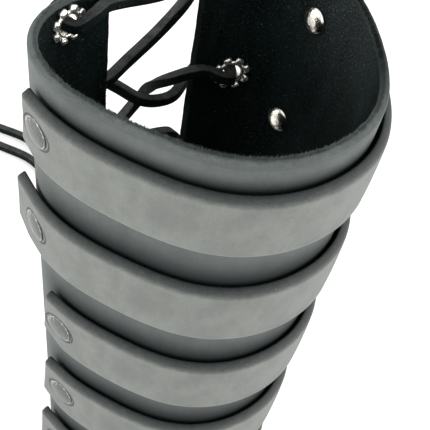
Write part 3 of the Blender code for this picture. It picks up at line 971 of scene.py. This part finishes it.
def blend(factor, first, second):
    """From the first colour to the second as the factor goes from 0 to 1."""
    tree = factor.tree
    mix = add_node(tree, "ShaderNodeMix", data_type="RGBA")
    for index, value in ((0, factor), (6, first), (7, second)):
        plug(mix.inputs[index], value if isinstance(value, Field) else (*value, 1))
    return Field(tree, mix.outputs[2])


def tinted(factor, colour, low, high):
    """A colour made darker or lighter: times low where the factor is 0, times high where it is 1."""
    return blend(factor, tuple(part * low for part in colour), tuple(part * high for part in colour))


def layered(shade, *layers):
    """Lays colours over a shade one by one: rows of (factor, colour)."""
    for factor, colour in layers:
        shade = blend(factor, shade, colour)
    return shade


def darker(colour, factor):
    return tuple(min(1.0, part * factor) for part in colour)


def dress(shader, values):
    for name, value in values.items():
        plug(shader.inputs[name], value)


def matte(shader, shade, roughness=0.65, gloss=0.3):
    dress(shader, {"Base Color": shade, "Roughness": roughness, "Specular IOR Level": gloss})


def bumped(shader, height, distance):
    """Relief whose height runs from 0 to 1 over so many millimetres."""
    inputs = {"Height": height, "Distance": distance * MM, "Strength": 1.0}
    plug(shader.inputs["Normal"], result(height.tree, "ShaderNodeBump", inputs))


def specks(place, scale, size, share):
    """Small dots in some of the cells of a grid."""
    dot = 1.0 - ramp(cells(place, scale), size * 0.4, size)
    pick = split(cells(place, scale, 1))[0]
    return dot * pick.maths("LESS_THAN", share)


def round_the_arm(x):
    """Degrees from the front to a place so far along the flat sleeve."""
    return (x / (REACH * RIM_RADIUS / MM) - 1.0) * degrees(REACH)


def shaded_right_side(angle):
    """How much painted shade darkens the rim's edges towards the right, where less light falls."""
    return ramp(angle, 14.0, 58.0) * 0.85


def crevice_shadow(height, across):
    """Painted shade on the sleeve in the crevice above each band, where the band's upper edge stands off: 0 in the
    crevice, 1 away from it.
    """
    rise = (across ** 4.0) * (BAND_RISE / MM)
    tall = BAND_HEIGHT / MM
    light = None
    for band in BANDS.values():
        above = height - (band_bottom(band) + BAND_HEIGHT) / MM - rise
        reach = 6.0 if band is BANDS[1] else 14.0
        clear = ramp(above, -0.8, reach) + 1.0 - ramp(above, -tall, 1.0 - tall)
        light = clear if light is None else light.maths("MINIMUM", clear)
    return light


def speckled_grain(place, colour):
    """Dry matte leather: fine pebbles, cloudy tone, faint brushing, dust and rubbed streaks."""
    pebbles = cells(place, 1.5, feature="SMOOTH_F1")
    pores = noise(place, 2.4, 4.0, 0.65)
    clouds = noise(place, 0.06, 4.0, 0.6)
    patches = noise(stretched(place, 1.0, 0.6, 1.0), 0.2, 4.0, 0.65)
    brushing = noise(stretched(place, 0.9, 0.12, 0.9), 0.8, 3.0, 0.6)
    scuffs = noise(stretched(place, 0.15, 0.9, 1.0), 0.5, 5.0, 0.7)
    tone = clouds * 0.3 + patches * 0.26 + brushing * 0.06 + pores * 0.38
    shade = layered(
        tinted(ramp(tone, 0.38, 0.62), colour, 0.82, 1.17),
        (ramp(pores, 0.5, 0.78) * 0.3, darker(colour, 0.6)),
        (specks(place, 0.16, 0.05, 0.35) * 0.5, darker(colour, 2.1)),
        (ramp(scuffs, 0.64, 0.8) * 0.2, darker(colour, 1.4)),
    )
    return shade, (1.0 - pebbles) * 0.45 + pores * 0.6 + clouds * 2.5 + brushing * 0.15


def sleeve_leather(tree, shader, colour):
    place = in_mm(tree, "cut")
    x, y, _ = split(place)
    shade, relief = speckled_grain(place, colour)
    angle = abs(round_the_arm(x))
    wander = noise(place, 0.3, 3.0, 0.6) * 1.2
    light = crevice_shadow(y + wander - 0.6, angle / degrees(REACH))
    covered = 1.0 - ramp(angle, 98.0, 112.0)
    shade = layered(
        shade,
        # painted shade in the crevice above each band, faded out past the bands' ends
        ((1.0 - light) * covered, (0.0035, 0.0055, 0.0055)),
        (near(y, SLEEVE_LENGTH / MM - 1.9, 0.1, 0.9) * 0.28, darker(colour, 0.4)),
    )
    matte(shader, shade)
    bumped(shader, relief, 0.11)


def upper_edge_light(place):
    """How light a band is near its slanted upper edge, with burnish and painted shade: 0 at the inner corner, 1 a
    little down its face, and darker on the right, where the edge is turned away from the light.
    """
    wander = noise(place, 0.6, 4.0, 0.65) * 0.5 - 0.25
    past = (BAND_HEIGHT / MM - split(place)[1]) / (BAND_BEVEL / MM) + wander
    slant = ramp(past, 0.25, 1.05, "LINEAR")
    to_right = split(result(place.tree, "ShaderNodeTexCoord", output="Object"))[0]
    # painted shade: darker on the right, where the edge is turned away from the light
    turned_away = ramp(to_right, 0.024, 0.046) * 0.7
    face = ramp(past + turned_away * -0.6, 0.8, 1.8) * (turned_away * 0.41 + 0.56)
    return slant * (1.0 - turned_away) * 0.41 + face + 0.03


def band_leather(tree, shader, colour):
    """The face of a band: dark burnish and painted shade towards its upper edge, a painted highlight along its lower
    edge and ends, and a painted shadow ring round its caps.
    """
    place = in_mm(tree, "cut")
    shade, relief = speckled_grain(place, colour)
    from_edge = split(place)[1].maths("MINIMUM", stored(tree, "from_end"))
    shade = layered(
        # burnish and painted shade towards the upper edge
        blend(upper_edge_light(place), BURNISH_AND_SHADE, shade),
        # a painted highlight along the lower edge and the ends
        ((1.0 - ramp(from_edge, 0.4, 1.4)) * 0.4, darker(colour, 1.5)),
        # a painted shadow ring round each cap
        (near(stored(tree, "from_cap"), 5.55, 0.1, 0.5) * 0.85, darker(colour, 0.1)),
    )
    matte(shader, shade)
    bumped(shader, relief, 0.11)


def band_cut(tree, shader, colour):
    """A band's cut edges: burnished dark, with painted shade on the upper edge as well, a little lighter towards the
    grain.
    """
    place = in_mm(tree, "cut")
    fibres = noise(place, 2.2, 4.0, 0.7)
    layers = noise(stretched(place, 0.4, 0.4, 2.2), 1.0, 3.0, 0.6)
    shade = tinted(ramp(fibres * 0.6 + layers * 0.4, 0.35, 0.65), colour, 0.8, 1.2)
    low, high = ((BAND_HEIGHT - share * BAND_BEVEL) / MM for share in (1.4, 1.2))
    below = 1.0 - ramp(split(place)[1], low, high)
    shade = blend(below, shade, darker(colour, 0.32))
    # burnish and painted shade on the upper edge
    shade = blend(upper_edge_light(place).maths("MAXIMUM", below), BURNISH_AND_SHADE, shade)
    shade = blend(specks(place, 0.3, 0.07, 0.2) * 0.5, shade, darker(colour, 1.6))
    matte(shader, shade, 0.6)
    bumped(shader, fibres * 0.7 + layers * 0.5, 0.14)


def sleeve_cut(tree, shader, colour):
    """The sleeve's raw cut: packed fibres, uneven tone, painted shade towards the right, and a ragged dark flesh edge.
    """
    place = in_mm(tree, "cut")
    x, y, depth = split(place)
    layers = noise(stretched(place, 0.5, 0.5, 2.2), 1.0, 4.0, 0.65)
    fibres = noise(place, 2.2, 4.0, 0.75)
    blots = noise(place, 0.35, 3.0, 0.6)
    tone = ramp(fibres * 0.5 + layers * 0.2 + blots * 0.3, 0.38, 0.64)
    # painted shade towards the right, where less light falls; it darkens the cut and widens the dark flesh edge there
    shaded_right = shaded_right_side(round_the_arm(x))
    ragged = depth + fibres * 1.8 - 0.6 - shaded_right * 2.0
    grain, rim = LEATHER / MM, SLEEVE_LENGTH / MM
    shade = layered(
        tinted(tone, colour, 0.76, 1.16),
        # painted shade towards the right
        (shaded_right, darker(colour, 0.3)),
        (1.0 - ramp(ragged, 0.0, 0.5), (0.004, 0.009, 0.0085)),
        (ramp(depth, grain - 0.75, grain - 0.25) * 0.3, darker(colour, 0.5)),
        (1.0 - ramp(y, rim - 3.2, rim - 1.6), (0.0025, 0.0055, 0.005)),     # inside the slit
    )
    matte(shader, shade, 0.95, 0.05)
    bumped(shader, fibres * 0.8 + layers * 0.4 + blots, 0.25)


def suede(tree, shader, colour):
    """Black flesh side: short nap, brushed patches, light flecks of loose fibre, and painted light on the nap high up
    on the right.
    """
    place = in_mm(tree, "cut")
    x, height, _ = split(place)
    angle = round_the_arm(x)
    nap = noise(place, 1.4, 5.0, 0.8)
    brushed = noise(stretched(place, 1.0, 0.3, 1.0), 0.09, 4.0, 0.65)
    tufts = noise(place, 0.9, 2.0, 0.6)
    # painted light on the nap, high up on the right wall inside
    painted_nap_light = ramp(angle, 40.0, 80.0) * (1.0 - ramp(angle, 95.0, 130.0)) * ramp(height, 200.0, 250.0)
    dust = specks(place, 1.1, 0.34, 0.45) * ramp(tufts, 0.36, 0.56)
    flecks = specks(place, 0.5, 0.16, 0.3) * ramp(nap, 0.35, 0.6)
    rim = SLEEVE_LENGTH / MM
    torn = ramp(height + nap * 1.8, rim - 1.1, rim - 0.5)
    shade = layered(
        tinted(ramp(nap * 0.62 + brushed * 0.38, 0.38, 0.64), colour, 0.3, 2.4),
        # painted light on the nap
        (painted_nap_light * ramp(nap, 0.38, 0.66) * 0.6, (0.05, 0.055, 0.055)),
        (ramp(tufts, 0.5, 0.7) * 0.5, (0.016, 0.021, 0.02)),
        # dust, brighter where the painted light falls
        (dust * (painted_nap_light * 0.65 + 0.3), (0.08, 0.09, 0.088)),
        (flecks * 0.8, (0.13, 0.15, 0.14)),
        # the torn edge fades under painted shade towards the right
        (torn * (1.0 - shaded_right_side(angle)), (0.066, 0.078, 0.075)),
    )
    matte(shader, shade, 1.0, 0.04)
    dress(shader, {"Sheen Weight": 0.015, "Sheen Roughness": 0.4})
    bumped(shader, nap + brushed, 0.35)


def lace_leather(tree, shader):
    """Black thong: smooth grain on one side, fibrous cut on the other three."""
    x, y, _ = split(attribute(tree, "section"))
    place = joined(x * 3.5, y * 3.5, stored(tree, "along"))
    fibres = noise(stretched(place, 2.0, 2.0, 0.6), 1.0, 4.0, 0.75)
    patches = noise(place, 0.25, 3.0, 0.6)
    tone = ramp(fibres * 0.6 + patches * 0.4, 0.36, 0.64)
    cut = blend(tone, (0.0012, 0.003, 0.003), (0.0075, 0.011, 0.011))
    cut = blend(ramp(fibres, 0.6, 0.74) * 0.6, cut, (0.05, 0.058, 0.058))
    grain = blend(tone, (0.018, 0.021, 0.02), (0.052, 0.056, 0.053))
    shade = blend(ramp(y * LACE_GRAIN_UP, 0.4, 0.47), cut, grain)
    shade = blend(specks(place, 0.6, 0.16, 0.25) * 0.6, shade, (0.14, 0.15, 0.15))
    matte(shader, shade, 0.75, 0.06)
    bumped(shader, fibres + patches, 0.16)


def worn_metal(tree, shader, colour, roughness, metallic=1.0):
    """Plated metal with fine scratches, faint dull spots and a slightly uneven pressing."""
    place = in_mm(tree, "turned")
    lines = noise(stretched(place, 0.4, 3.5, 0.4), 1.6, 3.0, 0.6)
    spots = noise(place, 0.9, 4.0, 0.65)
    shade = tinted(ramp(lines * 0.35 + spots * 0.65, 0.35, 0.65), colour, 0.86, 1.04)
    dress(shader, {"Base Color": shade, "Metallic": metallic, "Roughness": spots * 0.22 + (roughness - 0.08)})
    bumped(shader, lines * 0.4 + spots * 1.5, 0.05)


def coated_cap(tree, shader):
    """The outer cap: grey lacquer over its dome, worn to bright metal round its shoulder, with painted shade round its
    outer edge and flecks painted for reflections near the shoulder.
    """
    place = in_mm(tree, "turned")
    x, y, _ = split(place)
    out = (x * x + y * y).maths("SQRT")
    spots = noise(place, 1.1, 4.0, 0.65)
    wear = noise(place, 0.45, 3.0, 0.6)
    # dark and bright flecks near the shoulder, painted for reflections
    painted_reflection_flecks = ramp(noise(place, 0.7, 2.0, 0.5), 0.62, 0.66) * ramp(out, 3.2, 4.4)
    lacquer = layered(
        tinted(ramp(spots, 0.35, 0.65), (0.056, 0.06, 0.057), 0.78, 1.14),
        (near(out, 4.72, 0.05, 0.3) * ramp(wear, 0.4, 0.6) * 0.8, (0.012, 0.014, 0.014)),
        # painted shade round the cap's outer edge, where it meets the leather
        (ramp(out, 5.25, 5.38), (0.008, 0.01, 0.01)),
        # dark painted reflection flecks
        (painted_reflection_flecks * 0.85, (0.01, 0.012, 0.011)),
    )
    bare = near(out, 5.05, 0.06, 0.26) * ramp(wear, 0.4, 0.56) * 0.6
    # bright painted reflection flecks, as bare metal
    bare = bare.maths("MAXIMUM", painted_reflection_flecks * ramp(spots, 0.5, 0.56) * 0.7)
    shade = blend(bare, lacquer, (0.55, 0.55, 0.5))
    dress(shader, {"Base Color": shade, "Metallic": bare * 0.8, "Roughness": 0.24 + spots * 0.18})
    bumped(shader, spots + wear * 2.0, 0.05)


def plain(_, shader, colour, roughness):
    dress(shader, {"Base Color": (*colour, 1), "Roughness": roughness})


def make_materials():
    recipes = {
        "sleeve grain": (sleeve_leather, (0.064, 0.0715, 0.0695)),
        "band grain": (band_leather, BAND_GREY),
        "black suede": (suede, (0.003, 0.0065, 0.006)),
        "band flesh side": (suede, (0.010, 0.014, 0.014)),
        "cut sleeve edge": (sleeve_cut, (0.102, 0.118, 0.114)),
        "burnished band edge with painted shade": (band_cut, BAND_GREY),
        "lace leather": (lace_leather,),
        "lacquered rivet cap": (coated_cap,),
        "rivet nickel": (worn_metal, (0.9, 0.87, 0.77), 0.16),
        "eyelet nickel": (worn_metal, (1.0, 0.99, 0.93), 0.18, 0.9),
    }
    return {name: new_material(name, *recipe) for name, recipe in recipes.items()}


# --- stage

def make_stage():
    mesh = bpy.data.meshes.new("floor")
    mesh.from_pydata([(-6, -6, 0), (6, -6, 0), (6, 6, 0), (-6, 6, 0)], [], [(0, 1, 2, 3)])
    mesh.materials.append(new_material("pale floor", plain, (0.9, 0.9, 0.9), 0.8))
    floor = add_object("floor", mesh)
    floor.location.z = -0.0002


def light_scene():
    scene = bpy.context.scene
    scene.world = world = bpy.data.worlds.new("studio")
    world.use_nodes = True
    dress(world.node_tree.nodes["Background"], {"Color": (1, 1, 1, 1), "Strength": SKY_STRENGTH})
    for name, (azimuth, elevation, size, power) in LIGHTS.items():
        lamp = bpy.data.lights.new(name, "AREA")
        lamp.size = size
        lamp.energy = power
        light = add_object(name, lamp)
        back = direction(radians(azimuth), radians(elevation))
        light.location = Vector(LIGHT_TARGET) + back * LIGHT_DISTANCE
        light.rotation_euler = back.to_track_quat("Z", "Y").to_euler()
    scene.view_settings.view_transform = "Standard"
    scene.view_settings.look = "None"


def main():
    make_camera()
    materials = make_materials()
    thong = lace_tree(materials)
    make_lace_ends(thong)
    make_lace(thong)
    make_sleeve(materials)
    make_fibres(materials)
    make_bands(materials)
    make_rivets(materials)
    make_eyelets(materials)
    make_stage()
    light_scene()


main()
